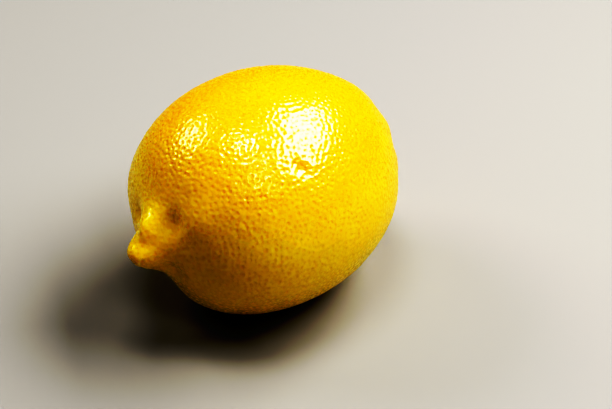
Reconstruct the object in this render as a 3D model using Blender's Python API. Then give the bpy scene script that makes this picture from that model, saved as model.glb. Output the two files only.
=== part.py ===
"""A whole lemon lying on its side, with the woody button at its stem end.

Metres, +Z up. The long axis runs along X, with the nipple at -X. The origin is the middle of
the box's underside, and the fruit rests on a small flat spot at z = 0.
"""

import math

import bmesh
import bpy
from mathutils import Matrix, Vector

# Body. Both ends start at the girth, which is the widest ring.
GIRTH_RADIUS = 0.0305
NIPPLE_END = 0.0331
STEM_END = 0.0387
NIPPLE_END_POWER = 0.72
STEM_END_POWER = 1.0

# How the fruit lies: the nipple end points a little upwards, and its weight rests on a flat spot.
TILT = math.radians(6.0)
FLAT_SPOT_DEPTH = 0.0006

# Edges sharper than this are shaded as edges.
SMOOTH_ANGLE = math.radians(40.0)

# Places on an end are (y, z), measured from the long axis before the fruit is laid down.
# Nipple: a broad mound, and the blunt knob low on it.
MOUND_CENTRE = (-0.0011, -0.0009)
MOUND_HEIGHT = 0.0052
MOUND_RADIUS = 0.0088
KNOB_CENTRE = (-0.0003, -0.0034)
KNOB_HEIGHT = 0.0045
KNOB_RADIUS = 0.0049
KNOB_POWER = 3.6

# Stem end: a low collar round a basin, and ribs that fade out over the shoulder.
COLLAR_HEIGHT = 0.0016
COLLAR_RADIUS = 0.0060
COLLAR_WIDTH = 0.0030
BASIN_DEPTH = 0.0014
BASIN_RADIUS = 0.0040
BASIN_POWER = 4.0
RIB_COUNT = 11
RIB_TURN = math.radians(97.0)
RIB_HEIGHT = 0.0006
RIB_START = 0.0040
RIB_PEAK = 0.0130
RIB_END = 0.0230

# Swellings and hollows of each end: (y, z), how far it stands out, and its reach.
NIPPLE_SWELLS = (
    ((0.0007, 0.0035), 0.0023, 0.0036),  # lump above the knob
    ((0.0036, 0.0022), -0.0013, 0.0020),  # three dips along the fold between the two
    ((0.0010, 0.0008), -0.0015, 0.0019),
    ((-0.0020, 0.0001), -0.0014, 0.0020),
    ((-0.0057, 0.0062), -0.0018, 0.0030),  # three pits at the mound's foot
    ((-0.0058, -0.0055), -0.0018, 0.0028),
    ((0.0079, 0.0012), -0.0016, 0.0029),
    ((-0.0113, 0.0088), 0.0012, 0.0047),  # rise past the first pit
    ((-0.0140, -0.0066), -0.0004, 0.0050),  # shallow hollows on either side of the mound
    ((0.0165, -0.0060), -0.0007, 0.0060),
    ((0.0039, -0.0168), -0.0025, 0.0082),  # broad hollow below it
)
STEM_SWELLS = (
    ((-0.0175, 0.0055), -0.0009, 0.0080),
    ((-0.0020, 0.0220), 0.0009, 0.0080),
)

# Button: five blunt lobes round the stub of the stalk, seated in the basin.
BUTTON_RADIUS = 0.0030
BUTTON_LOBES = 5
LOBE_REACH = 0.0007
BUTTON_THICKNESS = 0.0008
BUTTON_RIM = 0.0004
STUB_RADIUS = 0.0014
STUB_HEIGHT = 0.0014
STUB_POWER = 8.0
SEAT_GAP = 0.0003

# Finishes: linear colours.
PEEL_COLOUR = (0.87, 0.52, 0.01)
PEEL_ROUGHNESS = 0.35
BUTTON_COLOUR = (0.16, 0.14, 0.05)
BUTTON_ROUGHNESS = 0.8

# Mesh density. Rings are this many times closer together on the nipple, out to its reach.
SEGMENTS = 64
RINGS = 66
NIPPLE_CROWDING = 2.4
NIPPLE_REACH = 0.0128
OUTLINE_STEPS = 3000
BUTTON_SEGMENTS = 40
BUTTON_TOP_RINGS = 9
BUTTON_SEAT_RINGS = 4


def falloff(distance, reach, power=2.0):
    """1 at no distance, falling to nothing past reach. A higher power has a flatter top."""
    return math.exp(-((abs(distance) / reach) ** power))


def smooth_step(share):
    """share held to 0..1, with level ends."""
    held = min(1.0, max(0.0, share))
    return held * held * (3.0 - 2.0 * held)


def swell(y, z, swells):
    """The sum of these swellings at a place on an end."""
    total = 0.0
    for centre, height, reach in swells:
        total += height * falloff(math.dist((y, z), centre), reach)
    return total


def nipple_rise(y, z):
    """How far the skin stands out past the blunt end at a place on the nipple end."""
    mound = MOUND_HEIGHT * falloff(math.dist((y, z), MOUND_CENTRE), MOUND_RADIUS)
    knob = KNOB_HEIGHT * falloff(math.dist((y, z), KNOB_CENTRE), KNOB_RADIUS, KNOB_POWER)
    return mound + knob + swell(y, z, NIPPLE_SWELLS)


def stem_rise(y, z):
    """How far the skin stands out past the plain stem end at a place on it."""
    radius = math.hypot(y, z)
    collar = COLLAR_HEIGHT * falloff(radius - COLLAR_RADIUS, COLLAR_WIDTH)
    basin = BASIN_DEPTH * falloff(radius, BASIN_RADIUS, BASIN_POWER)
    inner = smooth_step((radius - RIB_START) / (RIB_PEAK - RIB_START))
    outer = smooth_step((RIB_END - radius) / (RIB_END - RIB_PEAK))
    rib = RIB_HEIGHT * inner * outer * math.cos(RIB_COUNT * (math.atan2(z, y) - RIB_TURN))
    return collar - basin + rib + swell(y, z, STEM_SWELLS)


def skin_point(angle, turn):
    """A point of the skin: angle goes from 0 at the nipple to pi at the stem, turn round the axis."""
    along = -math.cos(angle)
    power = NIPPLE_END_POWER if along < 0.0 else STEM_END_POWER
    radius = GIRTH_RADIUS * math.sin(angle) ** power
    y = radius * math.cos(turn)
    z = radius * math.sin(turn)
    if along < 0.0:
        x = along * NIPPLE_END - nipple_rise(y, z)
    else:
        x = along * STEM_END + stem_rise(y, z)
    return Vector((x, y, z))


def ring_angles():
    """The rings' angles, evenly spread along the outline and crowded on the nipple."""
    angles = [math.pi * i / OUTLINE_STEPS for i in range(OUTLINE_STEPS + 1)]
    outline = [skin_point(angle, RIB_TURN) for angle in angles]
    travelled = [0.0]
    for before, point in zip(outline, outline[1:]):
        on_nipple = point.x < 0.0 and point.yz.length < NIPPLE_REACH
        crowding = NIPPLE_CROWDING if on_nipple else 1.0
        travelled.append(travelled[-1] + (point - before).length * crowding)
    step = travelled[-1] / (RINGS + 1)
    found = []
    for angle, length in zip(angles, travelled):
        if len(found) < RINGS and length >= step * (len(found) + 1):
            found.append(angle)
    return found


def lofted(rows, first_pole, last_pole):
    """A closed mesh through rows of points, from one pole to the other."""
    shape = bmesh.new()
    rings = [[shape.verts.new(point) for point in row] for row in rows]
    for ring, pole in ((rings[0], first_pole), (rings[-1], last_pole)):
        tip = shape.verts.new(pole)
        for left, right in zip(ring, ring[1:] + ring[:1]):
            shape.faces.new((left, right, tip))
    for ring, above in zip(rings, rings[1:]):
        for i in range(len(ring)):
            j = (i + 1) % len(ring)
            shape.faces.new((ring[i], ring[j], above[j], above[i]))
    bmesh.ops.recalc_face_normals(shape, faces=shape.faces)
    return shape


def fruit_shape():
    """The skin as one closed surface."""
    turns = [math.tau * i / SEGMENTS for i in range(SEGMENTS)]
    rows = [[skin_point(angle, turn) for turn in turns] for angle in ring_angles()]
    return lofted(rows, skin_point(0.0, 0.0), skin_point(math.pi, 0.0))


def button_rim(turn):
    """The button's outline: distance from the axis."""
    return BUTTON_RADIUS + LOBE_REACH * math.cos(BUTTON_LOBES * turn)


def button_point(share, turn, on_top):
    """A point of the button, at a share of the way from its middle to its rim."""
    radius = share * button_rim(turn)
    y = radius * math.cos(turn)
    z = radius * math.sin(turn)
    x = STEM_END + stem_rise(y, z) + SEAT_GAP
    if on_top:
        dome = (BUTTON_THICKNESS - BUTTON_RIM) * math.sqrt(1.0 - share * share)
        x += BUTTON_RIM + dome + STUB_HEIGHT * falloff(radius, STUB_RADIUS, STUB_POWER)
    return Vector((x, y, z))


def button_shape():
    """The woody button as one closed surface."""
    turns = [math.tau * i / BUTTON_SEGMENTS for i in range(BUTTON_SEGMENTS)]
    top = [(i + 1) / BUTTON_TOP_RINGS for i in range(BUTTON_TOP_RINGS)]
    seat = [1.0 - i / BUTTON_SEAT_RINGS for i in range(BUTTON_SEAT_RINGS)]
    rows = [[button_point(share, turn, True) for turn in turns] for share in top]
    rows += [[button_point(share, turn, False) for turn in turns] for share in seat]
    return lofted(rows, button_point(0.0, 0.0, True), button_point(0.0, 0.0, False))


def flatten_underside(shape, height):
    """Cuts the shape off at this height and closes the cut with one flat face."""
    everything = shape.verts[:] + shape.edges[:] + shape.faces[:]
    cut = bmesh.ops.bisect_plane(
        shape,
        geom=everything,
        plane_co=(0.0, 0.0, height),
        plane_no=(0.0, 0.0, 1.0),
        clear_inner=True,
    )
    rim = [item for item in cut["geom_cut"] if isinstance(item, bmesh.types.BMEdge)]
    bmesh.ops.holes_fill(shape, edges=rim, sides=0)
    bmesh.ops.recalc_face_normals(shape, faces=shape.faces)


def material(name, colour, roughness):
    """A Principled material with one plain finish."""
    made = bpy.data.materials.new(name)
    made.use_nodes = True
    shader = made.node_tree.nodes["Principled BSDF"]
    shader.inputs["Base Color"].default_value = (*colour, 1.0)
    shader.inputs["Roughness"].default_value = roughness
    shader.inputs["Metallic"].default_value = 0.0
    return made


def add_object(name, shape, finish):
    """Puts the shape in the scene as a smooth-shaded object."""
    mesh = bpy.data.meshes.new(name)
    shape.to_mesh(mesh)
    shape.free()
    mesh.shade_smooth()
    mesh.set_sharp_from_angle(angle=SMOOTH_ANGLE)
    mesh.materials.append(finish)
    bpy.context.scene.collection.objects.link(bpy.data.objects.new(name, mesh))


def main():
    for old in list(bpy.data.objects):
        bpy.data.objects.remove(old)

    fruit = fruit_shape()
    button = button_shape()
    lie_down = Matrix.Rotation(TILT, 4, "Y")
    for shape in (fruit, button):
        bmesh.ops.transform(shape, matrix=lie_down, verts=shape.verts)
    floor = min(corner.co.z for corner in fruit.verts) + FLAT_SPOT_DEPTH
    flatten_underside(fruit, floor)

    corners = [corner.co for shape in (fruit, button) for corner in shape.verts]
    middle_x = (min(p.x for p in corners) + max(p.x for p in corners)) / 2.0
    middle_y = (min(p.y for p in corners) + max(p.y for p in corners)) / 2.0
    for shape in (fruit, button):
        bmesh.ops.translate(shape, vec=(-middle_x, -middle_y, -floor), verts=shape.verts)

    add_object("fruit", fruit, material("peel", PEEL_COLOUR, PEEL_ROUGHNESS))
    add_object("stem_button", button, material("button", BUTTON_COLOUR, BUTTON_ROUGHNESS))


main()
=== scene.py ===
import math

import bmesh
import bpy
from mathutils import Matrix, Vector
from mathutils.bvhtree import BVHTree


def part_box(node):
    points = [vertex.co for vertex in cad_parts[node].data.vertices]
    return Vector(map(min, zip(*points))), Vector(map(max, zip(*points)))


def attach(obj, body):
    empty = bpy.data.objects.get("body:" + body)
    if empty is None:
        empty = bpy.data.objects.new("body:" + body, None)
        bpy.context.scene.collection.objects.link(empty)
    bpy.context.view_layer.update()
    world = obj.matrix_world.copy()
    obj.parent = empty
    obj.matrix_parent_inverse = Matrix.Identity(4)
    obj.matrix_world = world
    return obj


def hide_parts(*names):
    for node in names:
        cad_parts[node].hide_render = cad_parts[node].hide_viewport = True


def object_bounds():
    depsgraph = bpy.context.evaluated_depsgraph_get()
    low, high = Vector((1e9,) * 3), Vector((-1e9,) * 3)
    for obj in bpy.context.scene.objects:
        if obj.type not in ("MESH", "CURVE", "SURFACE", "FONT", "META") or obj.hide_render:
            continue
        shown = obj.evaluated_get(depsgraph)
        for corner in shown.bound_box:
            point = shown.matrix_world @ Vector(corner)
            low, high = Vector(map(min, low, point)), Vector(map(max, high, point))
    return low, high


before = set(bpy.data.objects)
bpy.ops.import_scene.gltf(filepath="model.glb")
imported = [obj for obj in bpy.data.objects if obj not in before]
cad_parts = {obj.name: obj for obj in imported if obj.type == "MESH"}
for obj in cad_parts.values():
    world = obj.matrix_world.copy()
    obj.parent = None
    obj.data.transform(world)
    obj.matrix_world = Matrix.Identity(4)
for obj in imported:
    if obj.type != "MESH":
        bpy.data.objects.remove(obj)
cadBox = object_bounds()
boxMiddle = (cadBox[0] + cadBox[1]) / 2.0
print("frame loaded, CAD box in mm:", [[round(v * 1000, 1) for v in corner] for corner in cadBox])

# What the pieces are fitted to.
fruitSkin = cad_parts["fruit"].data
nippleTip = tuple(min((corner.co for corner in fruitSkin.vertices), key=lambda place: place.x))
buttonLow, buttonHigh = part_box("stem_button")
buttonMiddle = tuple((buttonLow + buttonHigh) / 2.0)

# How the fruit lies.
lie = {
    "girthMiddle": (0.00120, 0.0, 0.0300),  # where the girth crosses the long axis
    "tilt": 6.0,  # how far the nipple end points up
}

# The view. Azimuth 0 looks along +Y and 90 along -X.
cameraSetup = {
    "aimRight": 0.01095,  # where it aims, from the girth's middle
    "aimDown": 0.00386,
    "azimuth": -42.8,
    "elevation": 38.0,
    "distance": 0.4288,
    "lens": 100.0,
    "clipStart": 0.01,
}

# A wide soft box over the stem end, a weaker one behind the nipple, two small ones for the sparkle
# on top and in front, and a dim, warm room.
studio = {
    "roomColour": (1.0, 0.95, 0.88),
    "roomStrength": 0.018,
    "floorColour": (0.36, 0.358, 0.353),
    "floorRoughness": 0.85,
    "floorSize": 6.0,
    "boxDistance": 0.60,
    "softBoxes": [
        {"name": "keyLight", "azimuth": 62.0, "elevation": 52.0,
         "size": (0.62, 0.32), "power": 4.85, "colour": (1.0, 0.97, 0.92)},
        {"name": "topLight", "azimuth": -75.0, "elevation": 86.0,
         "size": (0.22, 0.12), "power": 1.0, "colour": (1.0, 0.97, 0.92)},
        {"name": "frontLight", "azimuth": -20.0, "elevation": 50.0,
         "size": (0.09, 0.12), "power": 0.26, "colour": (1.0, 0.97, 0.92)},
        {"name": "backLight", "azimuth": -160.0, "elevation": 42.0,
         "size": (0.32, 0.19), "power": 1.1, "colour": (1.0, 0.97, 0.93)},
    ],
}


def directionFrom(azimuth, elevation):
    a, e = math.radians(azimuth), math.radians(elevation)
    return Vector((math.sin(a) * math.cos(e), -math.cos(a) * math.cos(e), math.sin(e)))


def smoothStep(share):
    held = min(1.0, max(0.0, share))
    return held * held * (3.0 - 2.0 * held)


def addObject(name, data):
    made = bpy.data.objects.new(name, data)
    bpy.context.scene.collection.objects.link(made)
    return made


# A socket that takes part in ordinary Python arithmetic by adding Math nodes.
class Value:
    def __init__(self, graph, socket):
        self.graph = graph
        self.socket = socket

    def out(self, name):
        return Value(self.graph, self.socket.node.outputs[name])

    def maths(self, operation, other, swapped=False):
        terms = (other, self) if swapped else (self, other)
        return self.graph.add("ShaderNodeMath", {"operation": operation}, dict(enumerate(terms)))

    def __add__(self, other):
        return self.maths("ADD", other)

    def __sub__(self, other):
        return self.maths("SUBTRACT", other)

    def __rsub__(self, other):
        return self.maths("SUBTRACT", other, swapped=True)

    def __mul__(self, other):
        return self.maths("MULTIPLY", other)

    def __truediv__(self, other):
        return self.maths("DIVIDE", other)

    def __rtruediv__(self, other):
        return self.maths("DIVIDE", other, swapped=True)

    def __pow__(self, other):
        return self.maths("POWER", other)

    def __rpow__(self, other):
        return self.maths("POWER", other, swapped=True)

    __radd__ = __add__
    __rmul__ = __mul__


class Graph:
    def __init__(self, tree):
        self.tree = tree

    # Adds a node: settings first, then its sockets, by name or number, as numbers or links.
    def add(self, kind, settings=None, sockets=None):
        node = self.tree.nodes.new(kind)
        for name, value in (settings or {}).items():
            if name == "stops":
                self.setStops(node.color_ramp.elements, value)
            else:
                setattr(node, name, value)
        for key, value in (sockets or {}).items():
            if isinstance(value, Value):
                self.tree.links.new(value.socket, node.inputs[key])
            else:
                node.inputs[key].default_value = value
        shown = [socket for socket in node.outputs if socket.enabled]
        return Value(self, shown[0]) if shown else node

    def setStops(self, elements, stops):
        while len(elements) < len(stops):
            elements.new(1.0)
        for element, (place, shade) in zip(elements, stops):
            element.position = place
            element.color = (shade, shade, shade, 1.0)

    def vector(self, operation, *terms):
        return self.add("ShaderNodeVectorMath", {"operation": operation}, dict(enumerate(terms)))

    def distance(self, place, spot):
        return self.vector("DISTANCE", place, spot).out("Value")

    def dot(self, place, direction):
        return self.vector("DOT_PRODUCT", place, direction).out("Value")

    def noise(self, place, scale, detail=2.0, roughness=0.5):
        sockets = {"Vector": place, "Scale": scale, "Detail": detail, "Roughness": roughness}
        return self.add("ShaderNodeTexNoise", None, sockets)

    # Each stop is a place and its shade of grey.
    def ramp(self, value, *stops):
        return self.add("ShaderNodeValToRGB", {"stops": stops}, {"Fac": value})

    # least up to start, 1 from end on, and a smooth rise between them.
    def rise(self, value, start, end, least=0.0):
        sockets = {"Value": value, "From Min": start, "From Max": end, "To Min": least}
        return self.add("ShaderNodeMapRange", {"interpolation_type": "SMOOTHSTEP"}, sockets)

    def bump(self, height, strength, distance):
        sockets = {"Height": height, "Strength": strength, "Distance": distance}
        return self.add("ShaderNodeBump", None, sockets)

    def mixColours(self, share, first, second):
        sockets = {"Factor": share}
        for key, colour in ((6, first), (7, second)):  # the Mix node's two colour sockets
            sockets[key] = colour if isinstance(colour, Value) else (*colour, 1.0)
        return self.add("ShaderNodeMix", {"data_type": "RGBA"}, sockets)


def newMaterial(name):
    material = bpy.data.materials.new(name)
    material.use_nodes = True
    graph = Graph(material.node_tree)
    return material, graph, material.node_tree.nodes["Principled BSDF"]


def feed(graph, shader, sockets):
    for name, value in sockets.items():
        if isinstance(value, Value):
            graph.tree.links.new(value.socket, shader.inputs[name])
        else:
            shader.inputs[name].default_value = value


peel = {
    "voxel": 0.00035,  # spacing of the skin's points when the pores are made
    "kept": 0.575,  # share of its faces kept after that
    "relaxing": 6,  # rounds of evening out that spacing
    "poreSpacing": 0.00118,  # least distance between two pores
    "poreTries": 4e6,  # places tried for a pore in a square metre
    "poreRadius": 0.00040,
    "poreDepth": 0.00017,
    "poreUneven": 0.45,  # how much one pore differs from the next
    "cushionReach": 0.00064,  # the skin swells into cushions between the pores
    "cushionHeight": 0.00008,
    "grain": 0.00006,  # fine unevenness between the pores
    "grainSize": 0.0009,
    "ripple": 0.00007,  # unevenness a few pores wide
    "rippleSize": 0.0046,
    "swell": 0.00016,  # broad unevenness
    "swellSize": 0.0130,
    "calmReach": 0.0080,  # round the button, where the skin stays plain
    "fineReach": 0.0150,  # round the nipple's tip, where the skin is finer
    "fineShare": 0.8,  # how much of the unevenness is left there
    "dentPlace": (-0.0053, -0.0213, 0.0515),  # one short crease
    "dentAlong": (0.44, -0.65, -0.62),
    "dentLength": 0.0026,
    "dentWidth": 0.0015,
    "dentDepth": 0.00042,
    "fading": 2.718,  # how steeply pores, cushions and the crease fade out
    "seed": 7,
    "lemon": (0.96, 0.69, 0.003),
    "gold": (0.95, 0.435, 0.002),  # painted tone: a darker gold on the top and the stem end, the side the key light falls on
    "paintedGoldShare": 0.85,
    "paintedGoldDirection": (0.5, 0.0, 1.0),
    "paintedGoldFrom": 0.025,
    "paintedGoldTo": 0.060,
    "blotchShare": 0.08,  # faint blotches of the same gold
    "blotchScale": 110.0,
    # painted shade: the pits are painted a darker orange
    "paintedPoreShade": (0.84, 0.44, 0.002),
    "paintedPoreShadeShare": 0.12,
    "stemGreen": (0.62, 0.52, 0.03),  # a greener ring round the button
    "stemReach": 0.012,
    "stemTint": 0.6,
    "scarTan": (0.70, 0.46, 0.18),  # a small dry scar on the nipple's tip
    "scarRadius": 0.0009,
    "scarTint": 1.6,
    "scarScale": 1400.0,
    "fineScale": 2200.0,  # grain too small for the mesh
    "fineStrength": 0.35,
    "fineHeight": 0.00018,
    "roughness": 0.21,
    "poreRoughness": 0.3,
    "fineRoughness": 0.06,
    "gloss": 0.4,  # of the peel under its wax
    "glow": 0.85,  # light let through the peel
    "glowColours": (1.0, 0.9, 0.2),
    "glowDepth": 0.0020,
    "waxRoughness": 0.09,
    "waxIndex": 1.66,
    "waxlessPores": 0.8,  # how much duller the wax is in a pore, and edge on
    "waxlessEdge": 0.85,
    "edgeBlend": 0.35,
}

# Points closer together than this are one point.
sameSpot = 1e-6


# The CAD skin as quads, smoothed: what the finished skin is laid on.
def smoothSkin(levels):
    shape = bmesh.new()
    shape.from_mesh(fruitSkin)
    bmesh.ops.remove_doubles(shape, verts=shape.verts, dist=sameSpot)
    flat = [face for face in shape.faces if all(corner.co.z < sameSpot for corner in face.verts)]
    bmesh.ops.dissolve_faces(shape, faces=flat)
    bmesh.ops.join_triangles(
        shape,
        faces=[face for face in shape.faces if len(face.verts) == 3],
        angle_face_threshold=math.radians(40.0),
        angle_shape_threshold=math.radians(60.0),
    )
    bmesh.ops.recalc_face_normals(shape, faces=shape.faces)
    mesh = bpy.data.meshes.new("smoothSkin")
    shape.to_mesh(mesh)
    shape.free()
    holder = addObject("smoothSkin", mesh)
    rounding = holder.modifiers.new("rounding", "SUBSURF")
    rounding.levels = rounding.render_levels = levels
    return holder


# The inputs of the tree below: kind and value.
def poreInputs():
    return {
        "Pore spacing": ("Float", peel["poreSpacing"]),
        "Pore tries": ("Float", peel["poreTries"]),
        "Pore radius": ("Float", peel["poreRadius"]),
        "Pore depth": ("Float", peel["poreDepth"]),
        "Pore uneven": ("Float", peel["poreUneven"]),
        "Cushion reach": ("Float", peel["cushionReach"]),
        "Cushion height": ("Float", peel["cushionHeight"]),
        "Grain": ("Float", peel["grain"]),
        "Grain size": ("Float", peel["grainSize"]),
        "Ripple": ("Float", peel["ripple"]),
        "Ripple size": ("Float", peel["rippleSize"]),
        "Swell": ("Float", peel["swell"]),
        "Swell size": ("Float", peel["swellSize"]),
        "Calm spot": ("Vector", buttonMiddle),
        "Calm reach": ("Float", peel["calmReach"]),
        "Fine spot": ("Vector", nippleTip),
        "Fine reach": ("Float", peel["fineReach"]),
        "Fine share": ("Float", peel["fineShare"]),
        "Dent place": ("Vector", peel["dentPlace"]),
        "Dent along": ("Vector", peel["dentAlong"]),
        "Dent length": ("Float", peel["dentLength"]),
        "Dent width": ("Float", peel["dentWidth"]),
        "Dent depth": ("Float", peel["dentDepth"]),
        "Fading": ("Float", peel["fading"]),
        "Seed": ("Int", peel["seed"]),
        "Finish": ("Material", peelMaterial()),
    }


# Pores scattered evenly over the skin, each a soft pit in a wider dip, so that the skin between them
# stands up in cushions. It is also uneven, and has one short crease.
def poreTree(inputs):
    tree = bpy.data.node_groups.new("peelPores", "GeometryNodeTree")
    tree.interface.new_socket("Skin", in_out="OUTPUT", socket_type="NodeSocketGeometry")
    tree.interface.new_socket("Skin", in_out="INPUT", socket_type="NodeSocketGeometry")
    for name, (kind, _) in inputs.items():
        tree.interface.new_socket(name, in_out="INPUT", socket_type="NodeSocket" + kind)
    graph = Graph(tree)
    given = graph.add("NodeGroupInput")
    place = graph.add("GeometryNodeInputPosition")

    pores = graph.add(
        "GeometryNodeDistributePointsOnFaces",
        {"distribute_method": "POISSON"},
        {"Mesh": given.out("Skin"), "Distance Min": given.out("Pore spacing"),
         "Density Max": given.out("Pore tries"), "Seed": given.out("Seed")},
    )
    nearest = graph.add("GeometryNodeSampleNearest", {"domain": "POINT"},
                        {"Geometry": pores, "Sample Position": place})
    centre = graph.add("GeometryNodeSampleIndex", {"data_type": "FLOAT_VECTOR"},
                       {"Geometry": pores, "Value": place, "Index": nearest})
    differing = graph.add("FunctionNodeRandomValue", {"data_type": "FLOAT"},
                          {"Max": 1.0, "ID": nearest, "Seed": given.out("Seed")})
    size = 1.0 - given.out("Pore uneven") * differing

    def fade(amount):
        return given.out("Fading") ** (0.0 - amount)

    away = graph.distance(place, centre)
    pit = fade((away / (given.out("Pore radius") * size)) ** 2.0)
    dip = fade((away / given.out("Cushion reach")) ** 2.0)

    def unevenness(amount, width, detail):
        noise = graph.noise(place, 1.0 / given.out(width), detail)
        return (noise - 0.5) * 2.0 * given.out(amount)  # from -amount to amount

    height = unevenness("Swell", "Swell size", detail=1.0)
    height = height + unevenness("Ripple", "Ripple size", detail=1.0)
    height = height + unevenness("Grain", "Grain size", detail=0.0)
    height = height - pit * size * given.out("Pore depth") - dip * given.out("Cushion height")

    # Finer on the nipple, wholly so up to half that reach.
    fromTip = graph.distance(place, given.out("Fine spot")) / given.out("Fine reach")
    height = height * graph.rise(fromTip, 0.5, 1.0, given.out("Fine share"))

    # The crease.
    fromDent = graph.vector("SUBTRACT", place, given.out("Dent place"))
    lengthwise = graph.dot(fromDent, given.out("Dent along"))
    fromMiddle = graph.vector("LENGTH", fromDent).out("Value")
    across = (fromMiddle * fromMiddle - lengthwise * lengthwise) / given.out("Dent width") ** 2.0
    crease = fade(across + (lengthwise / given.out("Dent length")) ** 2.0)
    height = height - crease * given.out("Dent depth")

    # The skin stays as it is under the button and a little round it, and never sinks below the floor.
    fromButton = graph.distance(place, given.out("Calm spot")) / given.out("Calm reach")
    height = height * graph.rise(fromButton, 0.5, 1.0)
    offset = graph.vector(
        "MULTIPLY",
        graph.add("GeometryNodeInputNormal"),
        graph.add("ShaderNodeCombineXYZ", None, {0: height, 1: height, 2: height}),
    )
    moved = graph.add("GeometryNodeSetPosition", None,
                      {"Geometry": given.out("Skin"), "Offset": offset})
    level = graph.add("GeometryNodeSetPosition", None, {
        "Geometry": moved,
        "Position": graph.vector("MAXIMUM", place, (-1.0, -1.0, 0.0)),
    })
    noted = graph.add("GeometryNodeStoreNamedAttribute", {"data_type": "FLOAT"},
                      {"Geometry": level, "Name": "pore", "Value": pit * size})
    smooth = graph.add("GeometryNodeSetShadeSmooth", None, {0: noted})
    realized = graph.add("GeometryNodeRealizeInstances", None, {0: smooth})
    finished = graph.add("GeometryNodeSetMaterial", None,
                         {"Geometry": realized, "Material": given.out("Finish")})
    graph.add("NodeGroupOutput", None, {"Skin": finished})
    return tree


def setInputs(modifier, inputs):
    for item in modifier.node_group.interface.items_tree:
        if item.in_out == "INPUT" and item.name in inputs:
            modifier[item.identifier] = inputs[item.name][1]


def peelMaterial():
    material, graph, shader = newMaterial("waxyPeel")
    place = graph.add("ShaderNodeTexCoord").out("Object")
    pore = graph.add("ShaderNodeAttribute", {"attribute_name": "pore"}).out("Fac")

    clouds = graph.noise(place, peel["blotchScale"], detail=3.0, roughness=0.55)
    blotches = graph.ramp(clouds, (0.35, 0.0), (0.68, 1.0))
    # Painted tone: the top and the stem end, where the key light falls, are painted a darker gold; the
    # blotches on top of it are the fruit's own.
    paintedKeySide = graph.rise(graph.dot(place, peel["paintedGoldDirection"]), peel["paintedGoldFrom"], peel["paintedGoldTo"])
    paintedGoldAndBlotches = paintedKeySide * peel["paintedGoldShare"] + blotches * peel["blotchShare"]
    colour = graph.mixColours(paintedGoldAndBlotches, peel["lemon"], peel["gold"])
    # Painted shade in the pits: darker orange where a pore is deepest.
    colour = graph.mixColours(pore * peel["paintedPoreShadeShare"], colour, peel["paintedPoreShade"])

    def nearness(spot, reach):
        return graph.ramp(graph.distance(place, spot) * (1.0 / reach), (0.0, 1.0), (1.0, 0.0))

    nearStem = nearness(buttonMiddle, peel["stemReach"])
    colour = graph.mixColours(nearStem * peel["stemTint"], colour, peel["stemGreen"])
    dryness = graph.noise(place, peel["scarScale"], detail=3.0)
    scar = nearness(nippleTip, peel["scarRadius"]) * dryness * peel["scarTint"]
    colour = graph.mixColours(scar, colour, peel["scarTan"])

    fine = graph.noise(place, peel["fineScale"], detail=1.0)
    edge = graph.add("ShaderNodeLayerWeight", None, {"Blend": peel["edgeBlend"]}).out("Facing")
    feed(graph, shader, {
        "Base Color": colour,
        "Roughness": peel["roughness"] + pore * peel["poreRoughness"] + fine * peel["fineRoughness"],
        "Normal": graph.bump(fine, peel["fineStrength"], peel["fineHeight"]),
        "Subsurface Weight": peel["glow"],
        "Subsurface Radius": peel["glowColours"],
        "Subsurface Scale": peel["glowDepth"],
        "Specular IOR Level": peel["gloss"],
        "Coat Weight": (1.0 - pore * peel["waxlessPores"]) * (1.0 - edge * peel["waxlessEdge"]),
        "Coat Roughness": peel["waxRoughness"],
        "Coat IOR": peel["waxIndex"],
    })
    return material


def makePeel():
    base = smoothSkin(levels=3)
    skin = smoothSkin(levels=2)
    remesh = skin.modifiers.new("evenPoints", "REMESH")
    remesh.mode = "VOXEL"
    remesh.voxel_size = peel["voxel"]
    relax = skin.modifiers.new("relax", "SMOOTH")
    relax.factor = 0.5
    relax.iterations = peel["relaxing"]
    cling = skin.modifiers.new("cling", "SHRINKWRAP")
    cling.target = base
    inputs = poreInputs()
    pores = skin.modifiers.new("pores", "NODES")
    pores.node_group = poreTree(inputs)
    setInputs(pores, inputs)
    thinning = skin.modifiers.new("thinning", "DECIMATE")
    thinning.ratio = peel["kept"]
    evaluated = skin.evaluated_get(bpy.context.evaluated_depsgraph_get())
    mesh = bpy.data.meshes.new_from_object(evaluated)
    mesh.name = "lemonPeel"
    for used in (base, skin):
        bpy.data.objects.remove(used)
    print("peel made:", sum(len(face.vertices) - 2 for face in mesh.polygons), "triangles")
    return addObject("lemonPeel", mesh)


lemonPeel = makePeel()
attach(lemonPeel, "root")
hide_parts("fruit")


button = {
    "radius": 0.0030,
    "lobes": 5,
    "lobeReach": 0.0007,
    "edgeThickness": 0.00030,
    "dome": 0.00050,
    "ribHeight": 0.00028,  # a rib down each lobe
    "ribStart": 0.30,  # share of the way out to the rim
    "fineRibs": 25,
    "fineRibShare": 0.22,
    "fineRibTwist": 3.0,
    "tipCurl": 0.00030,  # the lobes' tips lift
    "curlStart": 0.6,
    "seatGap": 0.00028,
    "raggedWaves": ((0.5, 13, 1.0), (0.3, 23, 2.0), (0.2, 41, 0.0)),  # share, count, turn
    "raggedReach": 0.00012,
    "stubRadius": 0.0013,
    "stubHeight": 0.0015,
    "stubSteepness": 10,
    "stubSides": 9,  # faint corners round the stub
    "stubSideShare": 0.05,
    "stubRaggedShare": 0.03,
    "cutDepth": 0.00040,  # the cut end is hollow, with faint rings
    "cutShare": 0.82,
    "cutRingHeight": 0.00004,
    "cutRings": 36.0,
    "turns": 180,
    "rings": 44,
    "calyxGreen": (0.44, 0.38, 0.14),
    "calyxBrown": (0.44, 0.28, 0.11),
    "woodTan": (0.70, 0.54, 0.32),
    "woodStain": 0.45,  # how much of the mottling shows on the bare wood
    "mottleScale": 900.0,
    "fineScale": 3000.0,
    "fineStrength": 0.5,
    "fineHeight": 0.0003,
    "roughness": 0.72,
    "fineRoughness": 0.2,
}


def ragged(turn):
    return sum(share * math.sin(count * turn + start) for share, count, start in button["raggedWaves"])


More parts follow.
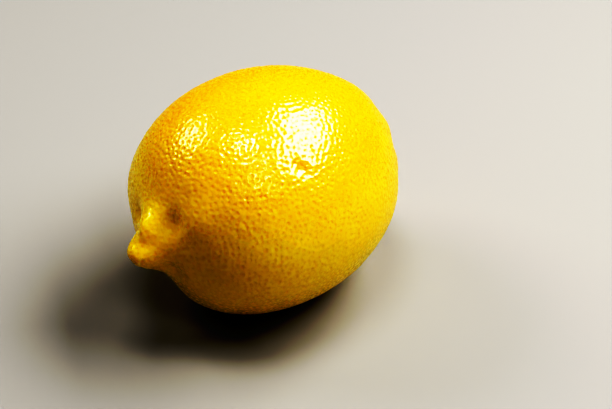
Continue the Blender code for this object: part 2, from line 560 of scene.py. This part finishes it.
# Thickness of the lobes over their seat, at a share of the way out to the rim.
def lobeHeight(share, turn):
    lobe = max(0.0, math.cos(button["lobes"] * turn))
    height = button["edgeThickness"] + button["dome"] * math.sqrt(max(0.0, 1.0 - share * share))
    outward = min(1.0, max(0.0, (share - button["ribStart"]) / (1.0 - button["ribStart"])))
    fineTurn = button["fineRibs"] * turn + button["fineRibTwist"] * share
    fineRib = button["fineRibShare"] * math.cos(fineTurn)
    height += button["ribHeight"] * math.sin(math.pi * outward) * (lobe ** 3 + fineRib)
    curl = smoothStep((share - button["curlStart"]) / (1.0 - button["curlStart"]))
    return height + button["tipCurl"] * lobe * curl


# What the stub of the stalk adds.
def stubHeight(radius, turn):
    sides = button["stubSideShare"] * math.cos(button["stubSides"] * turn)
    outline = button["stubRadius"] * (1.0 + sides + button["stubRaggedShare"] * ragged(turn))
    side = radius / outline
    hollow = max(0.0, 1.0 - (side / button["cutShare"]) ** 2)
    rings = button["cutRingHeight"] * math.cos(button["cutRings"] * side)
    wall = button["stubHeight"] * math.exp(-(side ** button["stubSteepness"]))
    return wall - (button["cutDepth"] - rings) * hollow


def makeButton():
    laid = Matrix.Translation(lie["girthMiddle"]) @ Matrix.Rotation(math.radians(lie["tilt"]), 4, "Y")
    skin = BVHTree.FromPolygons([corner.co for corner in fruitSkin.vertices],
                                [tuple(face.vertices) for face in fruitSkin.polygons])
    inward = laid.to_3x3() @ Vector((-1.0, 0.0, 0.0))
    beyond = 0.1  # along the axis, well past the stem end
    shape = bmesh.new()
    reach = shape.verts.layers.float.new("reach")
    cut = shape.verts.layers.float.new("cut")

    def corner(share, turn, onTop):
        rim = button["radius"] + button["lobeReach"] * math.cos(button["lobes"] * turn)
        radius = share * (rim + button["raggedReach"] * ragged(turn))
        start = laid @ Vector((beyond, radius * math.cos(turn), radius * math.sin(turn)))
        seat = skin.ray_cast(start, inward)[0] - inward * button["seatGap"]
        lift = lobeHeight(share, turn) + stubHeight(radius, turn) if onTop else 0.0
        made = shape.verts.new(seat - inward * lift)
        made[reach] = share
        made[cut] = float(onTop and radius < button["stubRadius"])
        return made

    turns = [math.tau * i / button["turns"] for i in range(button["turns"])]
    shares = [(i + 1) / button["rings"] for i in range(button["rings"])]
    rows = [[corner(share, turn, True) for turn in turns] for share in shares]
    rows += [[corner(share, turn, False) for turn in turns] for share in reversed(shares)]
    for row, onTop in ((rows[0], True), (rows[-1], False)):
        middle = corner(0.0, 0.0, onTop)
        for left, right in zip(row, row[1:] + row[:1]):
            shape.faces.new((left, right, middle))
    for row, after in zip(rows, rows[1:]):
        for i in range(len(row)):
            j = (i + 1) % len(row)
            shape.faces.new((row[i], row[j], after[j], after[i]))
    bmesh.ops.recalc_face_normals(shape, faces=shape.faces)
    mesh = bpy.data.meshes.new("lemonButton")
    shape.to_mesh(mesh)
    shape.free()
    mesh.shade_smooth()
    mesh.materials.append(buttonMaterial())
    print("button made:", len(mesh.polygons), "faces")
    return addObject("lemonButton", mesh)


# Mottled green and brown, browner at the rim, with the bare wood of the cut stub.
def buttonMaterial():
    material, graph, shader = newMaterial("dryButton")
    place = graph.add("ShaderNodeTexCoord").out("Object")
    reach = graph.add("ShaderNodeAttribute", {"attribute_name": "reach"}).out("Fac")
    cut = graph.add("ShaderNodeAttribute", {"attribute_name": "cut"}).out("Fac")
    clouds = graph.noise(place, button["mottleScale"], detail=4.0, roughness=0.6)
    mottle = graph.ramp(clouds, (0.35, 0.0), (0.65, 1.0))
    rim = graph.ramp(reach, (0.75, 0.0), (1.0, 0.7))
    colour = graph.mixColours(mottle, button["calyxGreen"], button["calyxBrown"])
    colour = graph.mixColours(rim, colour, button["calyxBrown"])
    bareWood = cut * (1.0 - button["woodStain"] + button["woodStain"] * mottle)
    colour = graph.mixColours(bareWood, colour, button["woodTan"])
    fine = graph.noise(place, button["fineScale"], detail=3.0, roughness=0.6)
    feed(graph, shader, {
        "Base Color": colour,
        "Roughness": button["roughness"] + button["fineRoughness"] * fine,
        "Normal": graph.bump(fine, button["fineStrength"], button["fineHeight"]),
    })
    return material


lemonButton = makeButton()
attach(lemonButton, "root")
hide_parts("stem_button")


def makeFloor():
    half = studio["floorSize"] / 2.0
    mesh = bpy.data.meshes.new("floor")
    corners = [(-half, -half, 0.0), (half, -half, 0.0), (half, half, 0.0), (-half, half, 0.0)]
    mesh.from_pydata(corners, [], [(0, 1, 2, 3)])
    material, graph, shader = newMaterial("palePaper")
    colour = (*studio["floorColour"], 1.0)
    feed(graph, shader, {"Base Color": colour, "Roughness": studio["floorRoughness"]})
    mesh.materials.append(material)
    addObject("floor", mesh)


def pointTo(item, place, target):
    item.location = place
    item.rotation_mode = "QUATERNION"
    item.rotation_quaternion = (target - place).to_track_quat("-Z", "Y")


def makeCamera():
    camera = bpy.data.cameras.new("camera")
    camera.lens = cameraSetup["lens"]
    camera.clip_start = cameraSetup["clipStart"]
    holder = addObject("camera", camera)
    back = directionFrom(cameraSetup["azimuth"], cameraSetup["elevation"])
    right = Vector((0.0, 0.0, 1.0)).cross(back).normalized()
    target = Vector(lie["girthMiddle"]) + right * cameraSetup["aimRight"]
    target -= back.cross(right) * cameraSetup["aimDown"]
    pointTo(holder, target + back * cameraSetup["distance"], target)
    bpy.context.scene.camera = holder


def makeLights():
    for box in studio["softBoxes"]:
        light = bpy.data.lights.new(box["name"], "AREA")
        light.shape = "RECTANGLE"
        light.size, light.size_y = box["size"]
        light.energy = box["power"]
        light.color = box["colour"]
        direction = directionFrom(box["azimuth"], box["elevation"])
        place = boxMiddle + direction * studio["boxDistance"]
        pointTo(addObject(box["name"], light), place, boxMiddle)
    room = bpy.data.worlds.new("room")
    room.use_nodes = True
    background = room.node_tree.nodes["Background"]
    background.inputs["Color"].default_value = (*studio["roomColour"], 1.0)
    background.inputs["Strength"].default_value = studio["roomStrength"]
    bpy.context.scene.world = room


# The tone: deeper shade, and highlights that roll off, as from a camera.
tone = {
    "white": 2.4,  # the brightness that comes out as white
    "curve": ((0.05, 0.0006), (0.10, 0.003), (0.18, 0.026), (0.24, 0.088), (0.35, 0.33), (0.50, 0.66),
              (0.65, 0.88), (0.80, 0.95), (1.1, 0.985)),  # brightness, and what it becomes
}


def setTone():
    view = bpy.context.scene.view_settings
    view.view_transform = "Standard"
    view.use_curve_mapping = True
    mapping = view.curve_mapping
    mapping.white_level = (tone["white"],) * 3
    allColours = mapping.curves[3]
    for brightness, value in tone["curve"]:
        allColours.points.new(brightness / tone["white"], value)
    mapping.update()


makeFloor()
makeCamera()
makeLights()
setTone()
print("floor, camera and lights placed")
